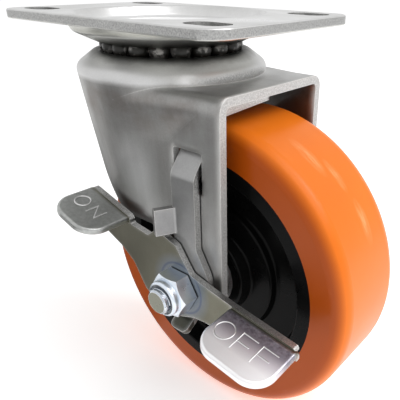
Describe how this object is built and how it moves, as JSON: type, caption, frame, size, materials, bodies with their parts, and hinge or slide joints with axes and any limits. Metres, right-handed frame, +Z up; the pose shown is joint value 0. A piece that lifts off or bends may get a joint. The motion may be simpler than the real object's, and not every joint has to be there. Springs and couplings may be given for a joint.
{
  "type": "swivel castor",
  "caption": "Plate-mounted swivel castor with a pressed fork, a polyurethane-tyred wheel and a foot-operated side brake with an on pedal and an off pedal.",
  "frame": {"origin": "centre of the mounting plate's top face, on the swivel axis", "axes": "+Z up along the swivel axis, +X from the swivel axis towards the trailing axle, the brake is on the -Y leg"},
  "size_m": [0.1272, 0.0771, 0.128],
  "materials": {
    "plate": "zinc plated",
    "fork": "worn zinc plated",
    "race_steel": "greased",
    "ball_steel": "polished",
    "bolt_steel": "bright zinc",
    "nut_insert": "nylon",
    "spacer_steel": "plain",
    "tread": "moulded polyurethane",
    "core": "moulded nylon",
    "bearing_steel": "ground",
    "cage": "moulded",
    "shield": "pressed",
    "strap": "zinc plated",
    "lever": "worn zinc plated"
  },
  "bodies": {
    "mounting": {"top_plate": "plate", "king_pin": "race_steel", "lower_race_cup": "race_steel"},
    "main_ball_set": {"main_balls": "ball_steel"},
    "thrust_ball_set": {"thrust_balls": "ball_steel"},
    "fork": {"fork": "fork", "axle_bolt": "bolt_steel", "axle_nut": "bolt_steel", "nut_insert": "nut_insert", "axle_sleeve": "spacer_steel", "axle_spacer_near": "spacer_steel", "axle_spacer_far": "spacer_steel", "bearing_inner_ring_near": "bearing_steel", "bearing_inner_ring_far": "bearing_steel"},
    "wheel": {"wheel_tread": "tread", "wheel_core": "core", "bearing_outer_ring_near": "bearing_steel", "bearing_outer_ring_far": "bearing_steel", "bearing_shields_near": "shield", "bearing_shields_far": "shield"},
    "wheel_ball_sets": {"bearing_balls_near": "ball_steel", "bearing_balls_far": "ball_steel", "bearing_cage_near": "cage", "bearing_cage_far": "cage"},
    "brake_lever": {"brake_lever": "lever"},
    "brake_strap": {"brake_strap": "strap"}
  },
  "joints": [
    {"name": "swivel", "type": "hinge", "parent": "mounting", "child": "fork", "pos_m": [0, 0, 0], "axis": [0, 0, 1], "continuous": true},
    {"name": "main_ball_orbit", "type": "hinge", "parent": "mounting", "child": "main_ball_set", "pos_m": [0, 0, 0], "axis": [0, 0, 1], "continuous": true},
    {"name": "thrust_ball_orbit", "type": "hinge", "parent": "mounting", "child": "thrust_ball_set", "pos_m": [0, 0, 0], "axis": [0, 0, 1], "continuous": true},
    {"name": "wheel_spin", "type": "hinge", "parent": "fork", "child": "wheel", "pos_m": [0.0289, 0, -0.0772], "axis": [0, 1, 0], "continuous": true},
    {"name": "wheel_ball_orbit", "type": "hinge", "parent": "fork", "child": "wheel_ball_sets", "pos_m": [0.0289, 0, -0.0772], "axis": [0, 1, 0], "continuous": true},
    {"name": "brake_lever_turn", "type": "hinge", "parent": "fork", "child": "brake_lever", "pos_m": [0.0289, 0, -0.0772], "axis": [0, -1, 0], "range_deg": [0, 24]},
    {"name": "brake_strap_slide", "type": "slide", "parent": "fork", "child": "brake_strap", "axis": [0, 0, -1], "range_m": [0, 0.002]}
  ],
  "couplings": [
    {"joint": "main_ball_orbit", "follows": "swivel", "ratio": 0.5},
    {"joint": "thrust_ball_orbit", "follows": "swivel", "ratio": 0.5},
    {"joint": "wheel_ball_orbit", "follows": "wheel_spin", "ratio": 0.628},
    {"joint": "brake_strap_slide", "follows": "brake_lever_turn", "m_per_rad": 0.00477}
  ]
}
